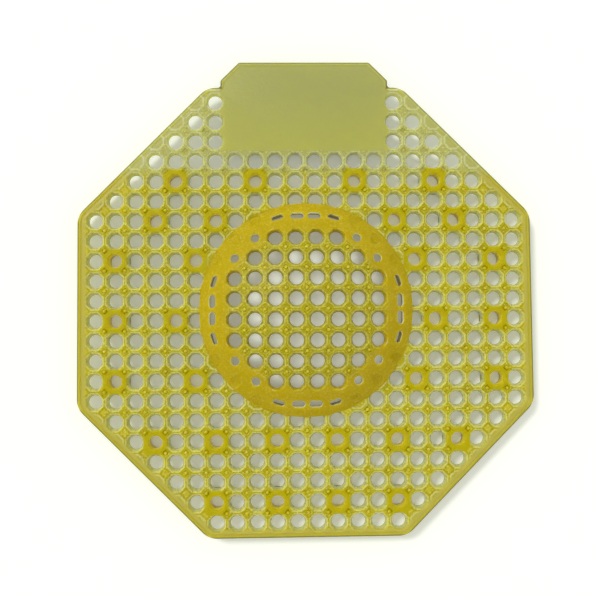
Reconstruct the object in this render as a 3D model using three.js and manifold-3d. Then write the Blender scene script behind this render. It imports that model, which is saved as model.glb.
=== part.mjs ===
// A urinal mat: an octagonal sheet of soft vinyl moulded in one piece, with a grid of drain holes,
// a dome over the drain, a bare label tab at one end and ring-shaped feet under it.
// Millimetres, +Z up. The feet stand on z = 0, the tab points along +Y, and the origin is
// below the middle of the whole mat, tab included.
import * as THREE from "three";
import { mergeVertices } from "three/addons/utils/BufferGeometryUtils.js";
import Module from "manifold-3d";

// Outline of the sheet
const WIDTH = 176; // octagon, across
const LENGTH = 174; // octagon, along
const CORNER_CUT = 50; // what each slanting side takes off the square, along each edge
const CORNER_RADIUS = 8;
const TAB_WIDTH = 65.4;
const TAB_LENGTH = 10; // how far the tab stands out of the octagon
const TAB_CHAMFER = 7.2;

// Thickness
const SHEET = 3;
const THIN_SHEET = 1.8; // at the label end
const THIN_ROWS = 4; // rows of holes in the thin end
const HALF_ROWS = 11; // rows of holes from the dome's centre to the label end

// Drain holes
const PITCH = 7.75;
const HOLE_WIDTH = 5.6; // across the flats
const HOLE_SIDES = 6;
const RIM = 2.3; // least solid border outside the outermost holes
const LABEL_LENGTH = 24.8; // solid label panel, from the octagon's edge inwards

// Dome
const DOME_RADIUS = 41.3;
const DOME_HEIGHT = 14; // above the sheet
const CROWN = 2.4; // thickness at the top of the dome
const DOME_WALL = 3.1; // thickness of the round wall under the dome's edge
const SLIT_LENGTH = 5.4; // of the narrow holes next to that wall
const SLIT_SIDES = 4;

// Feet: rings round some of the holes
const FOOT_HEIGHT = 4;
const FOOT_WIDTH = 8.9; // across the flats
const FOOT_SIDES = 8;
// Each row of feet, in pitches from the dome's centre: the row, then its columns to either side
const FEET = [
  [6.5, [2.5, 6.5]],
  [4.5, [4.5, 7.5]],
  [2.5, [5.5, 9.5]],
  [-0.5, [6.5, 9.5]],
  [-3.5, [5.5, 9.5]],
  [-6.5, [1.5, 4.5, 7.5]],
  [-9.5, [1.5, 4.5]],
];

const OVERLAP = 0.5; // how far one part of the moulding runs into the next
const TOLERANCE = 0.001;
const ARC_STEPS = 2; // straight pieces in a rounded corner of the outline

const SHEET_TOP = FOOT_HEIGHT + SHEET;
const CAVITY_RADIUS = DOME_RADIUS - DOME_WALL;
const CENTRE = new THREE.Vector2(0, -TAB_LENGTH / 2); // the middle of the octagon and the dome

const wasm = await Module();
wasm.setup();

// A closed geometry as a solid that can be joined and cut
function solidOf(geometry) {
  geometry.deleteAttribute("normal");
  geometry.deleteAttribute("uv");
  const merged = mergeVertices(geometry);
  return new wasm.Manifold(
    new wasm.Mesh({
      numProp: 3,
      vertProperties: merged.attributes.position.array,
      triVerts: new Uint32Array(merged.index.array),
    }),
  );
}

// An upright solid between two heights
function prism(shape, low, high) {
  const geometry = new THREE.ExtrudeGeometry(shape, {
    depth: high - low,
    bevelEnabled: false,
    curveSegments: ARC_STEPS,
  });
  geometry.translate(0, 0, low);
  return solidOf(geometry);
}

// The corners of a regular polygon round a point, with flats facing +X and -X
function polygon(centre, sides, width) {
  const radius = width / 2 / Math.cos(Math.PI / sides);
  return Array.from({ length: sides }, (_, k) => {
    const angle = ((k + 0.5) * 2 * Math.PI) / sides;
    return new THREE.Vector2(Math.cos(angle), Math.sin(angle)).multiplyScalar(radius).add(centre);
  });
}

// A hole squeezed to a pointed slit: its corners, with its length at right angles to outwards
function slit(centre, width, outwards) {
  const middle = new THREE.Vector2();
  return Array.from({ length: SLIT_SIDES }, (_, k) => {
    const angle = (k * 2 * Math.PI) / SLIT_SIDES;
    const x = (width / 2) * Math.cos(angle);
    const y = (SLIT_LENGTH / 2) * Math.sin(angle);
    return new THREE.Vector2(x, y).rotateAround(middle, outwards).add(centre);
  });
}

// An outline with a round at each corner, given as a list of corners and their radii
function rounded(corners) {
  const shape = new THREE.Shape();
  corners.forEach(([corner, radius], k) => {
    const before = corners.at(k - 1)[0].clone().sub(corner);
    const after = corners[(k + 1) % corners.length][0].clone().sub(corner);
    if (radius === 0) {
      shape.lineTo(corner.x, corner.y);
      return;
    }
    const reach = Math.min(
      radius / Math.tan(before.angleTo(after) / 2),
      before.length() / 2,
      after.length() / 2,
    );
    const start = before.setLength(reach).add(corner);
    const end = after.setLength(reach).add(corner);
    if (k === 0) {
      shape.moveTo(start.x, start.y);
    } else {
      shape.lineTo(start.x, start.y);
    }
    shape.quadraticCurveTo(corner.x, corner.y, end.x, end.y);
  });
  shape.closePath();
  return shape;
}

// The outline of the sheet: the octagon, with the tab on its +Y edge
function outline() {
  const side = WIDTH / 2;
  const end = LENGTH / 2;
  const tab = TAB_WIDTH / 2;
  const right = [
    [side - CORNER_CUT, -end, CORNER_RADIUS],
    [side, CORNER_CUT - end, CORNER_RADIUS],
    [side, end - CORNER_CUT, CORNER_RADIUS],
    [side - CORNER_CUT, end, CORNER_RADIUS],
    [tab, end, 0],
    [tab, end + TAB_LENGTH - TAB_CHAMFER, 0],
    [tab - TAB_CHAMFER, end + TAB_LENGTH, 0],
  ];
  const left = right.map(([x, y, radius]) => [-x, y, radius]).reverse();
  return rounded(
    [...right, ...left].map(([x, y, radius]) => [new THREE.Vector2(x, y).add(CENTRE), radius]),
  );
}

// A point of the grid, in pitches from the dome's centre
function gridPoint(column, row) {
  return new THREE.Vector2(column, row).multiplyScalar(PITCH).add(CENTRE);
}

// Whether a hole at this point of the grid stays clear of the edge and the label panel
function holeFits(column, row) {
  const x = Math.abs(column) * PITCH;
  const y = Math.abs(row) * PITCH;
  const margin = HOLE_WIDTH / 2 + RIM;
  const slant = (WIDTH + LENGTH) / 2 - CORNER_CUT;
  const inLabel = x < TAB_WIDTH / 2 && row * PITCH > LENGTH / 2 - LABEL_LENGTH;
  return (
    x + margin <= WIDTH / 2 &&
    y + margin <= LENGTH / 2 &&
    x + y + margin * Math.SQRT2 <= slant &&
    !inLabel
  );
}

// Every place of the grid within a distance of the dome's centre, half a pitch off its axes
function gridPlaces(distance) {
  const half = Math.ceil(distance / PITCH);
  const steps = Array.from({ length: 2 * half }, (_, k) => k + 0.5 - half);
  return steps.flatMap((row) => steps.map((column) => [column, row]));
}

function distanceFromCentre(point) {
  return point.distanceTo(CENTRE);
}

function underDome([column, row]) {
  return distanceFromCentre(gridPoint(column, row)) < DOME_RADIUS;
}

function hasFoot([column, row]) {
  return FEET.some(([line, columns]) => line === row && columns.includes(Math.abs(column)));
}

function drainHole(centre) {
  return polygon(centre, HOLE_SIDES, HOLE_WIDTH);
}

// Height of a round cap above its base, at a distance from its axis
function capHeight(distance, baseRadius, height) {
  const sphere = (baseRadius ** 2 + height ** 2) / (2 * height);
  const inside = Math.min(distance, baseRadius);
  return Math.sqrt(sphere ** 2 - inside ** 2) - (sphere - height);
}

function domeTop(point) {
  return SHEET_TOP + capHeight(distanceFromCentre(point), DOME_RADIUS, DOME_HEIGHT);
}

function domeUnderside(point) {
  const rise = DOME_HEIGHT + SHEET - CROWN;
  return FOOT_HEIGHT + capHeight(distanceFromCentre(point), CAVITY_RADIUS, rise);
}

// The holes at a place in the dome: one, which narrows to a slit near the dome's wall, or none
// over the wall
function domeHoles([column, row]) {
  const centre = gridPoint(column, row);
  const room = CAVITY_RADIUS - distanceFromCentre(centre);
  if (room >= HOLE_WIDTH) {
    return [drainHole(centre)];
  }
  if (room <= OVERLAP) {
    return [];
  }
  return [slit(centre, room, Math.atan2(row, column))];
}

// The same point, moved to a distance from the dome's centre
function atRadius(point, radius) {
  return point.clone().sub(CENTRE).setLength(radius).add(CENTRE);
}

// The square cells over the dome's cavity, each with its hole. The outermost corners of the
// cells are moved onto the cavity's edge, so that together they fill its circle.
function cavityCells() {
  const places = gridPlaces(DOME_RADIUS).filter(underDome);
  const inside = new Set(places.map(String));
  const around = [
    [-0.5, -0.5],
    [0.5, -0.5],
    [0.5, 0.5],
    [-0.5, 0.5],
  ];
  const corner = (column, row) => {
    const point = gridPoint(column, row);
    const enclosed = around.every(([x, y]) => inside.has(String([column + x, row + y])));
    return enclosed ? point : atRadius(point, CAVITY_RADIUS);
  };
  return places.map((place) => ({
    contour: around.map(([x, y]) => corner(place[0] + x, place[1] + y)),
    holes: domeHoles(place),
  }));
}

// The closed solid between an upper and a lower surface over flat cells
function solidOverCells(cells, upper, lower) {
  const positions = [];
  const openEdges = new Map();
  const key = (from, to) => String([...from.toArray(), ...to.toArray()]);
  const addTriangle = (...corners) => {
    corners.forEach(([point, height]) => positions.push(point.x, point.y, height(point)));
  };
  for (const { contour, holes } of cells) {
    const points = [...contour, ...holes.flat()];
    for (const indices of THREE.ShapeUtils.triangulateShape(contour, holes)) {
      const triangle = indices.map((index) => points[index]);
      if (THREE.ShapeUtils.isClockWise(triangle)) {
        triangle.reverse();
      }
      const [a, b, c] = triangle;
      addTriangle([a, upper], [b, upper], [c, upper]);
      addTriangle([c, lower], [b, lower], [a, lower]);
      for (const [from, to] of [[a, b], [b, c], [c, a]]) {
        if (!openEdges.delete(key(to, from))) {
          openEdges.set(key(from, to), [from, to]);
        }
      }
    }
  }
  for (const [from, to] of openEdges.values()) {
    addTriangle([from, lower], [to, lower], [to, upper]);
    addTriangle([from, lower], [to, upper], [from, upper]);
  }
  const geometry = new THREE.BufferGeometry();
  geometry.setAttribute("position", new THREE.Float32BufferAttribute(positions, 3));
  return solidOf(geometry);
}

// The corners of the cells that lie on the cavity's edge, in order round it
function cavityEdge(cells) {
  const onEdge = new Map();
  for (const point of cells.flatMap(({ contour }) => contour)) {
    if (distanceFromCentre(point) > CAVITY_RADIUS - TOLERANCE) {
      onEdge.set(String(point.toArray()), point);
    }
  }
  const angle = (point) => Math.atan2(point.y - CENTRE.y, point.x - CENTRE.x);
  return [...onEdge.values()].sort((a, b) => angle(a) - angle(b));
}

// The dome on its round wall, which stands on the floor
function dome() {
  const cells = cavityCells();
  const edge = cavityEdge(cells);
  const wallCells = edge.map((point, k) => {
    const next = edge[(k + 1) % edge.length];
    return {
      contour: [point, atRadius(point, DOME_RADIUS), atRadius(next, DOME_RADIUS), next],
      holes: [],
    };
  });
  const roof = solidOverCells(cells, domeTop, domeUnderside);
  const wall = solidOverCells(wallCells, domeTop, () => 0);
  return {
    solid: roof.add(wall),
    opening: edge.map((point) => atRadius(point, (CAVITY_RADIUS + DOME_RADIUS) / 2)),
  };
}

// The flat sheet with its drain holes, thinner at the label end
function sheet(places) {
  const shape = outline();
  for (const [column, row] of places) {
    shape.holes.push(new THREE.Path(drainHole(gridPoint(column, row))));
  }
  const thinFrom = CENTRE.y + (HALF_ROWS - THIN_ROWS) * PITCH;
  const recess = new THREE.Shape([
    new THREE.Vector2(-WIDTH, thinFrom),
    new THREE.Vector2(WIDTH, thinFrom),
    new THREE.Vector2(WIDTH, thinFrom + LENGTH),
    new THREE.Vector2(-WIDTH, thinFrom + LENGTH),
  ]);
  return prism(shape, FOOT_HEIGHT, SHEET_TOP).subtract(
    prism(recess, 0, SHEET_TOP - THIN_SHEET),
  );
}

function mat() {
  const places = gridPlaces(Math.max(WIDTH, LENGTH) / 2).filter(
    (place) => holeFits(...place) && !underDome(place),
  );
  const { solid: domed, opening } = dome();
  let solid = sheet(places.filter((place) => !hasFoot(place)))
    .subtract(prism(new THREE.Shape(opening), 0, SHEET_TOP + OVERLAP))
    .add(domed);
  const footed = places.filter(hasFoot).map(([column, row]) => gridPoint(column, row));
  for (const centre of footed) {
    const foot = new THREE.Shape(polygon(centre, FOOT_SIDES, FOOT_WIDTH));
    solid = solid.add(prism(foot, 0, SHEET_TOP - OVERLAP));
  }
  for (const centre of footed) {
    const bore = new THREE.Shape(drainHole(centre));
    solid = solid.subtract(prism(bore, -OVERLAP, SHEET_TOP + OVERLAP));
  }
  return solid;
}

// A solid as a geometry that can be drawn
function geometryOf(solid) {
  const mesh = solid.asOriginal().getMesh();
  const geometry = new THREE.BufferGeometry();
  geometry.setAttribute("position", new THREE.BufferAttribute(mesh.vertProperties, 3));
  geometry.setIndex(new THREE.BufferAttribute(mesh.triVerts, 1));
  geometry.computeVertexNormals();
  return geometry;
}

const vinyl = new THREE.MeshStandardMaterial({
  color: 0xc8bc28,
  roughness: 0.35,
  metalness: 0,
});
const piece = new THREE.Mesh(geometryOf(mat()), vinyl);
piece.name = "mat";

const group = new THREE.Group();
group.add(piece);
export default group;
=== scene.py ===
import math

import bmesh
import bpy
import numpy as np
from mathutils import Matrix, Vector


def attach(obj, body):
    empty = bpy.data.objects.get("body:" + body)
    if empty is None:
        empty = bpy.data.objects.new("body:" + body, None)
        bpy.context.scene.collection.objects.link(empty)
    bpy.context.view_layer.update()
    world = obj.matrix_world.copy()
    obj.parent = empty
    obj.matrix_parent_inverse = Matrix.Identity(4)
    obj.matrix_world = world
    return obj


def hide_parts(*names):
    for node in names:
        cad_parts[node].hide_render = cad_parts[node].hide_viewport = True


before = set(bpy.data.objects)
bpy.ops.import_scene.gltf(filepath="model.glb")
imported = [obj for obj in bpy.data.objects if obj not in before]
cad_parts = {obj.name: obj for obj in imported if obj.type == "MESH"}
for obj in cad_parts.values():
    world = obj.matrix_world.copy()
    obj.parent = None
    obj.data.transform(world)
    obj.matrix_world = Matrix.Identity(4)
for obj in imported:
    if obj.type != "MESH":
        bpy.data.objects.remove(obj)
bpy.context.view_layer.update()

# The sizes of the CAD part, in millimetres
WIDTH = 176
LENGTH = 174
CORNER_CUT = 50
CORNER_RADIUS = 8
TAB_WIDTH = 65.4
TAB_LENGTH = 10
TAB_CHAMFER = 7.2
SHEET = 3
THIN_SHEET = 1.8
THIN_ROWS = 4
HALF_ROWS = 11
PITCH = 7.75
HOLE_WIDTH = 5.6
RIM = 2.3
LABEL_LENGTH = 24.8
DOME_RADIUS = 41.3
DOME_HEIGHT = 14
CROWN = 2.4
DOME_WALL = 3.1
FOOT_HEIGHT = 4
FEET = [
    (6.5, (2.5, 6.5)),
    (4.5, (4.5, 7.5)),
    (2.5, (5.5, 9.5)),
    (-0.5, (6.5, 9.5)),
    (-3.5, (5.5, 9.5)),
    (-6.5, (1.5, 4.5, 7.5)),
    (-9.5, (1.5, 4.5)),
]
SHEET_TOP = FOOT_HEIGHT + SHEET
CAVITY_RADIUS = DOME_RADIUS - DOME_WALL
CENTRE_Y = -TAB_LENGTH / 2

# The finer form, in millimetres
HOLE_MOUTH = 6.7  # octagonal mouth of a drain hole, across the flats
HOLE_BOTTOM = 5.2  # round lower end of a drain hole
DOME_HOLE = 5.2  # the same in the dome
BORE = 4.8  # narrowest part of a hole that has a foot under it
BORE_MOUTH = 5.4
BORE_FOOT = 5.8  # the same hole at the floor
FOOT_OUTER = 9.3
FOOT_SQUARE = 0.6  # how square a foot is: from 0.5, a square, to 0.71, an octagon
PIT = 2.1  # side of the square pit between four holes
PIT_DEPTH = 0.5
NUB_WIDTH = 1.25
NUB_HEIGHT = 0.55  # above the sheet's top
ROOF_RADIUS = 3.95 * PITCH  # the patterned part of the dome
SMALL_HOLE = 3.5  # plain round hole near the dome's edge
BLIND_HOLE = 4.8  # round mark over the dome's wall
BLIND_DEPTH = 0.35
PIT_CLEARANCE = 1.6  # from the middle of a pit to the dome
SIDES = 24  # of a drain hole, a multiple of 8
DOME_STEPS = 144
BELOW_ALL, ABOVE_SLOPE = 0, 20  # heights that a straight cutter spans


def rings_to_mesh(rings):
    """Vertices and faces of a closed loft through rings, from the lowest to the highest."""
    count = len(rings[0])
    vertices = np.concatenate(rings)
    faces = [tuple(reversed(range(count)))]
    for k in range(len(rings) - 1):
        a, b = k * count, (k + 1) * count
        for i in range(count):
            j = (i + 1) % count
            faces.append((a + i, a + j, b + j, b + i))
    faces.append(tuple(range((len(rings) - 1) * count, len(rings) * count)))
    return vertices, faces


def make_object(name, parts):
    """One object from several closed lofts, in millimetres."""
    vertices, faces, start = [], [], 0
    for points, polygons in parts:
        vertices.append(points)
        faces.extend(tuple(i + start for i in polygon) for polygon in polygons)
        start += len(points)
    mesh = bpy.data.meshes.new(name)
    mesh.from_pydata(np.concatenate(vertices).tolist(), [], faces)
    mesh.validate()
    work = bmesh.new()
    work.from_mesh(mesh)
    bmesh.ops.recalc_face_normals(work, faces=work.faces)
    work.to_mesh(mesh)
    work.free()
    made = bpy.data.objects.new(name, mesh)
    bpy.context.scene.collection.objects.link(made)
    return made


def combine(target, other, operation):
    """Joins or cuts the target with another closed object, which is used up."""
    modifier = target.modifiers.new("form", "BOOLEAN")
    modifier.operation = operation
    modifier.solver = "MANIFOLD"
    modifier.object = other
    bpy.context.view_layer.objects.active = target
    bpy.ops.object.modifier_apply(modifier=modifier.name)
    mesh = other.data
    bpy.data.objects.remove(other)
    bpy.data.meshes.remove(mesh)
    if len(target.data.polygons) == 0:
        raise ValueError(f"nothing is left after {operation}")


# The grid


def place_point(column, row):
    """A point of the grid, counted in pitches from the dome's centre."""
    return np.array([column * PITCH, row * PITCH + CENTRE_Y])


def radius_of(column, row):
    """The distance of a point of the grid from the dome's axis."""
    return math.hypot(column, row) * PITCH


def hole_fits(column, row):
    """Whether a hole here stays clear of the edge and the label panel."""
    x, y = abs(column) * PITCH, abs(row) * PITCH
    margin = HOLE_WIDTH / 2 + RIM
    slant = (WIDTH + LENGTH) / 2 - CORNER_CUT
    in_label = x < TAB_WIDTH / 2 and row * PITCH > LENGTH / 2 - LABEL_LENGTH
    return (
        x + margin <= WIDTH / 2
        and y + margin <= LENGTH / 2
        and x + y + margin * math.sqrt(2) <= slant
        and not in_label
    )


half = [k + 0.5 for k in range(-12, 12)]
places = [(c, r) for r in half for c in half if hole_fits(c, r)]
place_set = set(places)
footed = {(s * c, row) for row, columns in FEET for c in columns for s in (-1, 1)}


def cap_height(distance, base, height):
    """Height of a round cap above its base, at a distance from its axis."""
    sphere = (base**2 + height**2) / (2 * height)
    inside = np.minimum(distance, base)
    return np.sqrt(sphere**2 - inside**2) - (sphere - height)


def lifted(points):
    """The points, raised from the sheet onto the dome above them."""
    moved = np.array(points, float)
    distance = np.hypot(moved[:, 0], moved[:, 1] - CENTRE_Y)
    moved[:, 2] += cap_height(distance, DOME_RADIUS, DOME_HEIGHT)
    return moved


# The shapes of the holes

angles = np.radians(22.5) + np.arange(SIDES) * 2 * np.pi / SIDES
octagon = 1 / np.cos((angles + np.pi / 8) % (np.pi / 4) - np.pi / 8)


def hole_ring(centre, width, roundness, z):
    """A ring between an octagon (0) and a circle (1) of this width across."""
    reach = width / 2 * (octagon * (1 - roundness) + roundness)
    x = centre[0] + reach * np.cos(angles)
    y = centre[1] + reach * np.sin(angles)
    return np.stack([x, y, np.full(SIDES, float(z))], axis=1)


def hole_pin(centre, bottom, low, mouth=HOLE_MOUTH):
    """The cutter of a drain hole: round below, an octagonal mouth with a broken edge above."""
    top = SHEET_TOP
    flare = mouth - bottom
    return rings_to_mesh(
        [
            hole_ring(centre, bottom, 1, low),
            hole_ring(centre, bottom, 1, top - 2.0),
            hole_ring(centre, bottom + flare * 0.35, 0.5, top - 1.1),
            hole_ring(centre, bottom + flare * 0.8, 0, top - 0.35),
            hole_ring(centre, mouth, 0, top),
            hole_ring(centre, mouth + 0.9, 0, top + 0.8),
        ]
    )


def round_ring(centre, width, z, sides):
    """A regular ring of this width across its corners."""
    corner = np.arange(sides) * 2 * np.pi / sides
    x = centre[0] + width / 2 * np.cos(corner)
    y = centre[1] + width / 2 * np.sin(corner)
    return np.stack([x, y, np.full(sides, float(z))], axis=1)


def square_ring(centre, side, z):
    """A square ring with its corners towards the ribs."""
    return round_ring(centre, side * math.sqrt(2), z, 4)


def pit(centre):
    """The square pit between four holes, its corners towards the ribs."""
    return rings_to_mesh(
        [
            square_ring(centre, PIT - 0.5, SHEET_TOP - PIT_DEPTH),
            square_ring(centre, PIT, SHEET_TOP),
            square_ring(centre, PIT + 0.5, SHEET_TOP + 0.6),
        ]
    )


def nub(centre):
    """The small rounded nub in a pit, which stands a little above the ribs."""
    top = SHEET_TOP + NUB_HEIGHT
    foot = SHEET_TOP - PIT_DEPTH - 0.3
    return rings_to_mesh(
        [
            round_ring(centre, NUB_WIDTH, foot, 8),
            round_ring(centre, NUB_WIDTH, top - 0.45, 8),
            round_ring(centre, NUB_WIDTH * 0.85, top - 0.2, 8),
            round_ring(centre, NUB_WIDTH * 0.5, top - 0.03, 8),
            round_ring(centre, NUB_WIDTH * 0.15, top, 8),
        ]
    )


# The sheet


def corner_list():
    """The corners of the outline, going round to the left, with their radii."""
    side, end, tab = WIDTH / 2, LENGTH / 2, TAB_WIDTH / 2
    right = [
        (side - CORNER_CUT, -end, CORNER_RADIUS),
        (side, CORNER_CUT - end, CORNER_RADIUS),
        (side, end - CORNER_CUT, CORNER_RADIUS),
        (side - CORNER_CUT, end, CORNER_RADIUS),
        (tab, end, 1.2),
        (tab, end + TAB_LENGTH - TAB_CHAMFER, 1.2),
        (tab - TAB_CHAMFER, end + TAB_LENGTH, 1.2),
    ]
    left = [(-x, y, r) for x, y, r in reversed(right)]
    return [(np.array([x, y + CENTRE_Y]), r) for x, y, r in right + left]


def outline(inset, z, steps=8):
    """The outline of the sheet moved inwards, its rounds keeping their centres."""
    corners = corner_list()
    count = len(corners)
    lines = []
    for k in range(count):
        a, b = corners[k][0], corners[(k + 1) % count][0]
        along = (b - a) / np.linalg.norm(b - a)
        inward = np.array([-along[1], along[0]])
        lines.append((a + inward * inset, along))
    points = []
    for k in range(count):
        (p, u), (q, v) = lines[k - 1], lines[k]
        t = np.linalg.solve(np.stack([u, -v], axis=1), q - p)[0]
        corner = p + u * t
        turn = math.atan2(u[0] * v[1] - u[1] * v[0], u @ v)
        radius = corners[k][1] - math.copysign(inset, turn)
        radius = max(radius, 0.05)
        reach = radius * math.tan(abs(turn) / 2)
        inward = np.array([-u[1], u[0]]) * math.copysign(1, turn)
        middle = corner - u * reach + inward * radius
        for s in range(steps + 1):
            angle = turn * s / steps
            spoke = -inward * radius
            x = spoke[0] * math.cos(angle) - spoke[1] * math.sin(angle)
            y = spoke[0] * math.sin(angle) + spoke[1] * math.cos(angle)
            points.append((middle[0] + x, middle[1] + y, z))
    return np.array(points)


def build_sheet():
    """The flat sheet with a rounded border bead, its holes and its pits."""
    low, top = FOOT_HEIGHT, SHEET_TOP
    profile = [
        (0.55, low),
        (0.2, low + 0.1),
        (0.0, low + 0.45),
        (0.0, top - 0.5),
        (0.12, top - 0.15),
        (0.4, top + 0.08),
        (0.8, top + 0.15),
        (1.2, top + 0.08),
        (1.55, top - 0.12),
        (1.9, top - 0.1),
        (2.3, top),
    ]
    body = make_object("mat_form", [rings_to_mesh([outline(*step) for step in profile])])
    # Thinner at the label end
    start = CENTRE_Y + (HALF_ROWS - THIN_ROWS) * PITCH
    under = top - THIN_SHEET
    span = [(-WIDTH, start), (WIDTH, start), (WIDTH, start + 80), (-WIDTH, start + 80)]
    slab = rings_to_mesh([np.array([(x, y, z) for x, y in span]) for z in (low - 1, under)])
    combine(body, make_object("recess", [slab]), "DIFFERENCE")
    # Room for the dome, whose skirt overlaps the sheet by 1 mm
    middle = (0, CENTRE_Y)
    disc = rings_to_mesh([round_ring(middle, DOME_RADIUS * 2 - 2, z, 96) for z in (0, 12)])
    combine(body, make_object("disc", [disc]), "DIFFERENCE")
    # The drain holes, those over the feet bored later
    pins = []
    for column, row in places:
        if radius_of(column, row) < DOME_RADIUS:
            continue
        if (column, row) in footed:
            pins.append(hole_pin(place_point(column, row), BORE, low + 0.5, BORE_MOUTH))
        else:
            pins.append(hole_pin(place_point(column, row), HOLE_BOTTOM, low - 1))
    combine(body, make_object("pins", pins), "DIFFERENCE")
    combine(body, make_object("pits", [pit(place_point(*at)) for at in sheet_pits]), "DIFFERENCE")
    return body


def around(column, row):
    """The four hole places round a pit."""
    return [(column + a, row + b) for a in (-0.5, 0.5) for b in (-0.5, 0.5)]


whole = range(-12, 13)
sheet_pits = [
    (c, r)
    for r in whole
    for c in whole
    if radius_of(c, r) > DOME_RADIUS + PIT_CLEARANCE and all(p in place_set for p in around(c, r))
]
roof_pits = [(c, r) for r in whole for c in whole if radius_of(c, r) < ROOF_RADIUS]


# The dome


def build_dome():
    """The dome on its round wall, with its holes."""
    rise = DOME_HEIGHT + SHEET - CROWN
    profile = []
    for t in np.linspace(0, 1, 22)[1:]:
        r = CAVITY_RADIUS * t
        profile.append((r, FOOT_HEIGHT + cap_height(r, CAVITY_RADIUS, rise)))
    profile += [
        (CAVITY_RADIUS, 0.4),
        (CAVITY_RADIUS + 0.3, 0.0),
        (DOME_RADIUS - 0.3, 0.0),
        (DOME_RADIUS, 0.4),
        (DOME_RADIUS, SHEET_TOP - 0.35),
    ]
    for t in np.linspace(1, 0, 26)[:-1]:
        r = DOME_RADIUS * t
        profile.append((r, SHEET_TOP + cap_height(r, DOME_RADIUS, DOME_HEIGHT)))
    turns = np.arange(DOME_STEPS) * 2 * np.pi / DOME_STEPS
    vertices = [(0.0, CENTRE_Y, FOOT_HEIGHT + rise), (0.0, CENTRE_Y, SHEET_TOP + DOME_HEIGHT)]
    for r, z in profile:
        vertices += [(r * math.cos(t), CENTRE_Y + r * math.sin(t), z) for t in turns]
    faces = []
    last = 2 + (len(profile) - 1) * DOME_STEPS
    for i in range(DOME_STEPS):
        j = (i + 1) % DOME_STEPS
        faces.append((0, 2 + j, 2 + i))
        faces.append((1, last + i, last + j))
        for k in range(len(profile) - 1):
            a = 2 + k * DOME_STEPS
            b = a + DOME_STEPS
            faces.append((a + i, a + j, b + j, b + i))
    shell = make_object("dome_form", [(np.array(vertices), faces)])

    under_dome = [place for place in places if radius_of(*place) < DOME_RADIUS]
    cutters, blind = [], []
    for place in under_dome:
        kind = tuple(sorted(map(abs, place)))
        if radius_of(*place) < ROOF_RADIUS:
            cutters.append(roof_hole(place_point(*place)))
        elif kind == (2.5, 3.5):
            cutters.append(small_hole(place_point(*place)))
        elif kind in SLITS:
            cutters.append(slit(place, *SLITS[kind]))
        else:
            blind.append(blind_hole(place_point(*place)))
    combine(shell, make_object("dome_holes", cutters), "DIFFERENCE")
    combine(shell, make_object("blind", blind), "DIFFERENCE")
    pits = []
    for at in roof_pits:
        vertices, faces = pit(place_point(*at))
        pits.append((lifted(vertices), faces))
    combine(shell, make_object("roof_pits", pits), "DIFFERENCE")
    return shell


def roof_hole(centre):
    """A drain hole whose mouth follows the dome."""
    vertices, faces = hole_pin(centre, DOME_HOLE, SHEET_TOP - 5)
    vertices = lifted(vertices)
    vertices[:SIDES, 2] = 0
    return vertices, faces


def small_hole(centre):
    """A plain round hole straight down through the dome."""
    widths = ((SMALL_HOLE, BELOW_ALL), (SMALL_HOLE, ABOVE_SLOPE), (SMALL_HOLE + 1.1, 27))
    return rings_to_mesh([round_ring(centre, width, z, 20) for width, z in widths])


def blind_hole(centre):
    """A shallow round mark where the grid meets the dome's wall."""
    widths = ((BLIND_HOLE - 0.6, -BLIND_DEPTH), (BLIND_HOLE, 0), (BLIND_HOLE + 0.6, 0.6))
    rings = [round_ring(centre, width, SHEET_TOP + z, 20) for width, z in widths]
    vertices, faces = rings_to_mesh(rings)
    return lifted(vertices), faces


def slit(place, out, across, width, length, slanting):
    """A long hole right beside the wall: its middle in pitches, its size, and whether it turns with
    the wall or keeps to the grid."""
    column, row = place
    outwards = math.atan2(row, column)
    if abs(column) > abs(row):
        middle = (math.copysign(out, column), math.copysign(across, row))
        turn = outwards if slanting else 0.0
    else:
        middle = (math.copysign(across, column), math.copysign(out, row))
        turn = outwards if slanting else math.pi / 2
    centre = place_point(*middle)
    grown = ((0, BELOW_ALL), (0, ABOVE_SLOPE), (1.2, 26))
    return rings_to_mesh([slot_ring(centre, width + g, length + g, z, turn) for g, z in grown])


def slot_ring(centre, width, length, z, turn, sides=20):
    """A ring with straight sides and rounded ends, its length at right angles to the turn."""
    straight = max(length - width, 0) / 2
    corner = (np.arange(sides) + 0.5) * 2 * np.pi / sides
    x = width / 2 * np.cos(corner)
    y = width / 2 * np.sin(corner)
    y = y + np.where(y > 0, straight, -straight)
    return np.stack(
        [
            centre[0] + x * math.cos(turn) - y * math.sin(turn),
            centre[1] + x * math.sin(turn) + y * math.cos(turn),
            np.full(sides, float(z)),
        ],
        axis=1,
    )


# Each kind of slit by its place: how far out and how far across its middle is in pitches, its
# width and length, and whether it turns with the wall
SLITS = {
    (0.5, 4.5): (4.63, 0.42, 2.7, 5.2, False),
    (1.5, 4.5): (4.56, 1.4, 2.2, 4.7, True),
}


# The feet


def foot_ring(centre, width, z):
    """A ring of a foot's outer outline."""
    across, along = np.abs(np.cos(angles)), np.abs(np.sin(angles))
    reach = width / 2 / np.maximum(np.maximum(across, along), (across + along) * FOOT_SQUARE)
    x = centre[0] + reach * np.cos(angles)
    y = centre[1] + reach * np.sin(angles)
    return np.stack([x, y, np.full(SIDES, float(z))], axis=1)


def foot(centre):
    """A square post with its corners cut, which stands on the floor until it is bored."""
    return rings_to_mesh(
        [
            foot_ring(centre, FOOT_OUTER - 0.5, 0),
            foot_ring(centre, FOOT_OUTER, 0.3),
            foot_ring(centre, FOOT_OUTER, FOOT_HEIGHT + 0.3),
        ]
    )


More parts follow.
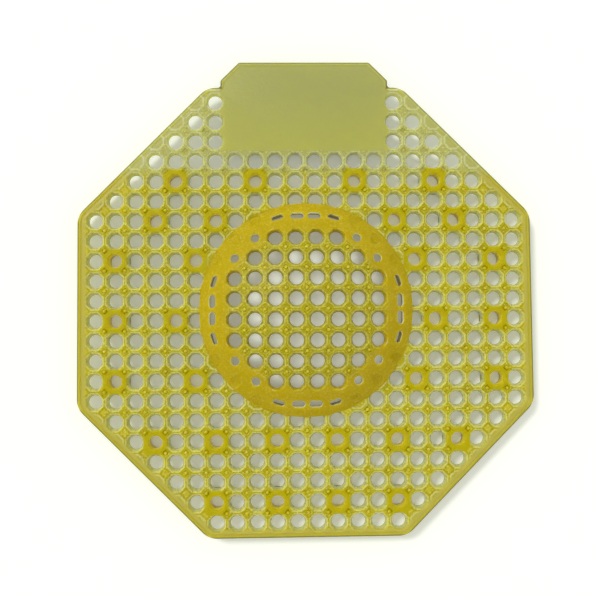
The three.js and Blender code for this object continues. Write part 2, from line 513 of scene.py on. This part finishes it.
mat = build_sheet()
combine(mat, build_dome(), "UNION")
combine(mat, make_object("feet", [foot(place_point(*at)) for at in sorted(footed)]), "UNION")
thin_from = HALF_ROWS - THIN_ROWS
nubs = [nub(place_point(*at)) for at in sheet_pits if at[1] < thin_from]
for at in roof_pits:
    vertices, faces = nub(place_point(*at))
    nubs.append((lifted(vertices), faces))
combine(mat, make_object("nubs", nubs), "UNION")
bores = []
for at in sorted(footed):
    centre = place_point(*at)
    widths = ((BORE_FOOT + 0.8, -0.5), (BORE_FOOT, 0.4), (BORE, FOOT_HEIGHT + 1))
    bores.append(rings_to_mesh([hole_ring(centre, width, 1, z) for width, z in widths]))
combine(mat, make_object("bores", bores), "DIFFERENCE")
mat.name = mat.data.name = "vinyl_mat"
mat.data.transform(Matrix.Scale(0.001, 4))
mat.data.shade_smooth()
mat.data.set_sharp_from_angle(angle=math.radians(32))
print("triangles", sum(len(p.vertices) - 2 for p in mat.data.polygons))


# The vinyl


def srgb(red, green, blue):
    """A colour as written on a screen, from 0 to 255, for a shader."""

    def linear(value):
        value /= 255
        return value / 12.92 if value <= 0.04045 else ((value + 0.055) / 1.055) ** 2.4

    return (linear(red), linear(green), linear(blue), 1)


# The vinyl's colours
FIELD_DEEP, FIELD_PALE = srgb(170, 161, 2), srgb(186, 178, 24)
DOME_TOP, DOME_SIDE = srgb(170, 160, 2), srgb(188, 166, 0)
HOLE_EDGE_HIGHLIGHT, PIT_PAINTED_LIGHT = srgb(210, 206, 128), srgb(222, 212, 78)
RIM_OUTER, RIM_INNER = srgb(178, 170, 58), srgb(188, 181, 82)
THIN_END, THIN_END_EDGE_HIGHLIGHT = srgb(176, 177, 108), srgb(196, 199, 152)
LABEL_NEAR, LABEL_FAR = srgb(182, 182, 94), srgb(169, 171, 104)
OVER_FOOT = srgb(184, 172, 0)
HOLE_WALL_LIGHT, FOOT_HOLE_WALL_LIGHT = srgb(194, 199, 142), srgb(226, 212, 60)
SLIT_WALL_LIGHT = srgb(250, 248, 226)
EDGE_SHADE = srgb(96, 94, 34)
FLOW_MARK = srgb(226, 204, 70)
GLINT_HIGHLIGHT, DARK_SPECK = srgb(226, 220, 128), srgb(136, 128, 2)


class Nodes:
    """Short ways to add linked shader nodes."""

    def __init__(self, tree):
        self.tree = tree

    def add(self, kind, inputs=None, **settings):
        node = self.tree.nodes.new(kind)
        for key, value in settings.items():
            setattr(node, key, value)
        for key, value in (inputs or {}).items():
            if isinstance(value, bpy.types.NodeSocket):
                self.tree.links.new(value, node.inputs[key])
            else:
                node.inputs[key].default_value = value
        return node

    def math(self, operation, *values):
        """A maths node on sockets or plain numbers."""
        return self.add("ShaderNodeMath", dict(enumerate(values)), operation=operation).outputs[0]

    def chain(self, operation, first, *others):
        """One operation over any number of values."""
        for other in others:
            first = self.math(operation, first, other)
        return first

    def times(self, *values):
        return self.chain("MULTIPLY", *values)

    def largest(self, *values):
        return self.chain("MAXIMUM", *values)

    def minus(self, a, b):
        return self.math("SUBTRACT", a, b)

    def size(self, value):
        return self.math("ABSOLUTE", value)

    def diagonal(self, a, b):
        """How far out along the diagonal between two axes."""
        return self.math("DIVIDE", self.math("ADD", a, b), math.sqrt(2))

    def step(self, value, start, end):
        """From 0 at start to 1 at end."""
        node = self.add("ShaderNodeMapRange", {0: value, 1: start, 2: end}, clamp=True)
        node.interpolation_type = "SMOOTHSTEP"
        return node.outputs[0]

    def band(self, value, start, full, fade, end):
        """1 from full to fade, falling to 0 at start and end."""
        return self.times(self.step(value, start, full), self.step(value, end, fade))

    def noise(self, place, scale, detail, roughness=0.6, distortion=0.0):
        settings = {"Vector": place, "Scale": scale, "Detail": detail}
        settings.update({"Roughness": roughness, "Distortion": distortion})
        return self.add("ShaderNodeTexNoise", settings).outputs[0]

    def mix(self, factor, a, b):
        """The colour a, turning to b as the factor rises."""
        node = self.add("ShaderNodeMix", data_type="RGBA")
        for index, value in ((0, factor), (6, a), (7, b)):
            if isinstance(value, bpy.types.NodeSocket):
                self.tree.links.new(value, node.inputs[index])
            else:
                node.inputs[index].default_value = value
        return node.outputs[2]


def rays_seen(nodes):
    """1 for the rays that show the background: camera, glossy and transmission rays."""
    path = nodes.add("ShaderNodeLightPath").outputs
    return nodes.largest(*(path[f"Is {kind} Ray"] for kind in ("Camera", "Glossy", "Transmission")))


def new_material(name):
    material = bpy.data.materials.new(name)
    material.use_nodes = True
    material.node_tree.nodes.clear()
    return material, Nodes(material.node_tree)


vinyl, n = new_material("yellow_vinyl")
texture_places = n.add("ShaderNodeTexCoord").outputs
coords = texture_places["Object"]
parts = n.add("ShaderNodeSeparateXYZ", {0: coords}).outputs
# A place on the mat in millimetres, from the dome's axis and the floor
x = n.times(parts[0], 1000)
y = n.math("MULTIPLY_ADD", parts[1], 1000, -CENTRE_Y)
z = n.times(parts[2], 1000)
across = n.size(x)
from_middle = n.math("SQRT", n.math("ADD", n.math("POWER", x, 2), n.math("POWER", y, 2)))
mottle = n.noise(coords, 60, 4)
fine = n.noise(coords, 900, 3)

# How far out in the nearest foot, whose outline is a square with its corners cut
nearest = None
for line, columns in FEET:
    for column in columns:
        aside = n.size(n.minus(across, column * PITCH))
        along = n.size(n.minus(y, line * PITCH))
        corner = n.times(n.math("ADD", aside, along), FOOT_SQUARE)
        gap = n.largest(aside, along, corner)
        nearest = gap if nearest is None else n.math("MINIMUM", nearest, gap)
on_foot = n.step(nearest, FOOT_OUTER / 2 + 0.35, FOOT_OUTER / 2 - 0.25)

# How far outside the octagon and outside the tab, less than nothing where inside
slant_edge = ((WIDTH + LENGTH) / 2 - CORNER_CUT) / math.sqrt(2)
edge = n.largest(
    n.minus(across, WIDTH / 2),
    n.minus(n.size(y), LENGTH / 2),
    n.minus(n.diagonal(across, n.size(y)), slant_edge),
)
tab_slant = (TAB_WIDTH / 2 + LENGTH / 2 + TAB_LENGTH - TAB_CHAMFER) / math.sqrt(2)
tab_edge = n.largest(
    n.minus(across, TAB_WIDTH / 2),
    n.minus(y, LENGTH / 2 + TAB_LENGTH),
    n.minus(n.diagonal(across, y), tab_slant),
    n.minus(0.0, y),
)

# How far out in the nearest hole, measured so that its octagon is even
across_hole = n.size(n.minus(n.math("WRAP", x, PITCH, 0), PITCH / 2))
along_hole = n.size(n.minus(n.math("WRAP", y, PITCH, 0), PITCH / 2))
out_of_hole = n.largest(across_hole, along_hole, n.diagonal(across_hole, along_hole))

# The zones of the mat, each 1 inside and 0 outside
thin_start = (HALF_ROWS - THIN_ROWS) * PITCH
label_start = LENGTH / 2 - LABEL_LENGTH
label_end = n.step(y, thin_start - 3.5, thin_start + 1.5)
in_label = n.times(
    n.step(across, TAB_WIDTH / 2 + 0.3, TAB_WIDTH / 2 - 0.3),
    n.step(y, label_start - 0.3, label_start + 0.3),
)
rim = n.step(edge, -4.0, -2.6)
on_dome = n.step(from_middle, DOME_RADIUS + 0.3, DOME_RADIUS - 0.3)
dome_side = n.band(from_middle, 26.0, 33.0, DOME_RADIUS, DOME_RADIUS + 0.4)
# Painted highlight: a paler band on the broken edge round each hole's mouth, weaker on the dome
edge_highlight = n.band(out_of_hole, 2.6, 3.2, 3.4, 3.8)
# Painted light: the pits are coloured paler, to lift the shade that falls in them
pit_light = n.step(out_of_hole, 4.2, 4.6)
facing = n.add("ShaderNodeSeparateXYZ", {0: texture_places["Normal"]}).outputs[2]
# Painted light on the steep walls inside the holes
bore_wall_light = n.times(
    n.step(out_of_hole, 3.1, 2.7),
    n.step(n.size(facing), 0.8, 0.5),
    n.step(z, SHEET_TOP - 0.25, SHEET_TOP - 0.9),
    n.step(from_middle, DOME_RADIUS + 0.5, DOME_RADIUS + 1),
)
# Painted light on the walls of the slits beside the dome's wall
slit_wall_light = n.times(
    n.step(n.size(facing), 0.6, 0.4),
    n.band(from_middle, 32.5, 33, 37.8, 38.3),
    n.step(z, 6.5, 7.0),
)
# Painted shade: a dark line along the rounded outer edge of the sheet and the tab
edge_shade = n.times(
    n.step(n.math("MINIMUM", edge, tab_edge), -0.85, -0.35),
    n.step(z, SHEET_TOP - 1.2, SHEET_TOP - 0.6),
)

# The colours, from the yellow of the field to the paler thin end and the deep gold where the
# vinyl is thick
colour = n.mix(n.step(mottle, 0.35, 0.65), FIELD_DEEP, FIELD_PALE)
colour = n.mix(on_dome, colour, DOME_TOP)
edge_highlight_strength = n.math("MULTIPLY_ADD", on_dome, -0.5, 0.9)
colour = n.mix(n.times(edge_highlight, edge_highlight_strength), colour, HOLE_EDGE_HIGHLIGHT)
colour = n.mix(n.times(pit_light, 0.45), colour, PIT_PAINTED_LIGHT)
rim_colour = n.mix(n.step(edge, -1.2, -2.2), RIM_OUTER, RIM_INNER)
colour = n.mix(rim, colour, rim_colour)
# The thin end is paler, with its own painted highlight round the hole mouths
colour = n.mix(label_end, colour, n.mix(edge_highlight, THIN_END, THIN_END_EDGE_HIGHLIGHT))
along_label = n.step(y, label_start, LENGTH / 2 + TAB_LENGTH)
label_colour = n.mix(along_label, LABEL_NEAR, LABEL_FAR)
colour = n.mix(in_label, colour, label_colour)
colour = n.mix(dome_side, colour, DOME_SIDE)
colour = n.mix(on_foot, colour, OVER_FOOT)
# Painted light: the walls of the holes are coloured paler, standing in for light that comes through
# the vinyl
colour = n.mix(bore_wall_light, colour, n.mix(on_foot, HOLE_WALL_LIGHT, FOOT_HOLE_WALL_LIGHT))
# Painted light: the slit walls are coloured almost white, as if lit
colour = n.mix(slit_wall_light, colour, SLIT_WALL_LIGHT)
# Painted shade on the outer edge
colour = n.mix(n.times(edge_shade, 0.9), colour, EDGE_SHADE)
# Flow marks on the dome's wall, and fine specks in the grid: pale ones are painted glints, the
# others darker specks at random
streak = n.step(n.size(n.minus(n.noise(coords, 170, 3, distortion=1.5), 0.5)), 0.02, 0.004)
colour = n.mix(n.times(streak, dome_side, 0.35), colour, FLOW_MARK)
lively = n.times(
    n.minus(1.0, in_label),
    n.minus(1.0, rim),
    n.math("MULTIPLY_ADD", dome_side, -0.7, 1.0),
    n.math("MULTIPLY_ADD", on_foot, -0.8, 1.0),
)
speck_noise = n.noise(coords, 1300, 2, roughness=0.5)
colour = n.mix(n.times(n.step(speck_noise, 0.56, 0.68), lively, 0.6), colour, GLINT_HIGHLIGHT)
colour = n.mix(n.times(n.step(speck_noise, 0.44, 0.32), lively, 0.5), colour, DARK_SPECK)

bump = n.add("ShaderNodeBump", {"Height": fine, "Strength": 0.5, "Distance": 0.0003})
shader = n.add(
    "ShaderNodeBsdfPrincipled",
    {
        "Base Color": colour,
        "Roughness": n.math("MULTIPLY_ADD", fine, 0.2, 0.22),
        "IOR": 1.5,
        "Specular IOR Level": 0.1,
        "Subsurface Weight": 1.0,
        "Subsurface Scale": 0.006,
        "Subsurface Radius": (1.0, 0.9, 0.12),
        "Normal": bump.outputs[0],
    },
)
n.add("ShaderNodeOutputMaterial", {0: shader.outputs[0]})
mat.data.materials.clear()
mat.data.materials.append(vinyl)

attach(mat, "root")
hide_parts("mat")

# The floor, the light and the camera

AMBIENT = 0.62
FLOOR_SHINE = 0.2
SUN_STRENGTH, SUN_WIDTH = 1.5, math.radians(14)
SUN_DIRECTION = Vector((0.62, -0.55, -1.0))
LENS, LENS_SHIFT = 39.2, (-0.0025, 0.0025)
CAMERA_TILT = [math.radians(degrees) for degrees in (-2.23, 1.3, 0.53)]
CAMERA_PLACE = (-7.59, -6.69, 252.24)  # in millimetres, from the sheet's top at the dome's axis

floor_mesh = bpy.data.meshes.new("floor")
reach = 6.0  # in metres
floor_corners = [(-reach, -reach, 0), (reach, -reach, 0), (reach, reach, 0), (-reach, reach, 0)]
floor_mesh.from_pydata(floor_corners, [], [(0, 1, 2, 3)])
floor = bpy.data.objects.new("floor", floor_mesh)
bpy.context.scene.collection.objects.link(floor)
paper, n = new_material("white_floor")
diffuse = n.add("ShaderNodeBsdfDiffuse", {"Color": (0.88, 0.91, 0.84, 1)})
shine = n.times(rays_seen(n), FLOOR_SHINE)
glow = n.add("ShaderNodeEmission", {"Color": (1, 1, 0.85, 1), "Strength": shine})
total = n.add("ShaderNodeAddShader", {0: diffuse.outputs[0], 1: glow.outputs[0]})
# Seen from below, the floor is clear
below = n.add("ShaderNodeNewGeometry").outputs["Backfacing"]
clear = n.add("ShaderNodeBsdfTransparent")
shown = n.add("ShaderNodeMixShader", {0: below, 1: total.outputs[0], 2: clear.outputs[0]})
n.add("ShaderNodeOutputMaterial", {0: shown.outputs[0]})
floor_mesh.materials.append(paper)

world = bpy.data.worlds.new("studio")
bpy.context.scene.world = world
world.use_nodes = True
world.node_tree.nodes.clear()
n = Nodes(world.node_tree)
# White behind the mat, and a lower level of light on it
strength = n.math("MULTIPLY_ADD", rays_seen(n), 1 - AMBIENT, AMBIENT)
sky = n.add("ShaderNodeBackground", {"Color": (1, 1, 1, 1), "Strength": strength})
n.add("ShaderNodeOutputWorld", {0: sky.outputs[0]})

sun = bpy.data.lights.new("window", "SUN")
sun.energy = SUN_STRENGTH
sun.angle = SUN_WIDTH
lamp = bpy.data.objects.new("window", sun)
lamp.rotation_euler = SUN_DIRECTION.to_track_quat("-Z", "Y").to_euler()
bpy.context.scene.collection.objects.link(lamp)

camera_data = bpy.data.cameras.new("camera")
camera_data.sensor_width = 36
camera_data.lens = LENS
camera_data.shift_x, camera_data.shift_y = LENS_SHIFT
camera = bpy.data.objects.new("camera", camera_data)
bpy.context.scene.collection.objects.link(camera)
tilt = Vector(CAMERA_TILT)
turned = Matrix.Rotation(tilt.length, 3, tilt.normalized())
place = (Vector(CAMERA_PLACE) + Vector((0, CENTRE_Y, SHEET_TOP))) * 0.001
camera.matrix_world = Matrix.Translation(place) @ turned.transposed().to_4x4()
bpy.context.scene.camera = camera
bpy.context.scene.view_settings.view_transform = "Standard"
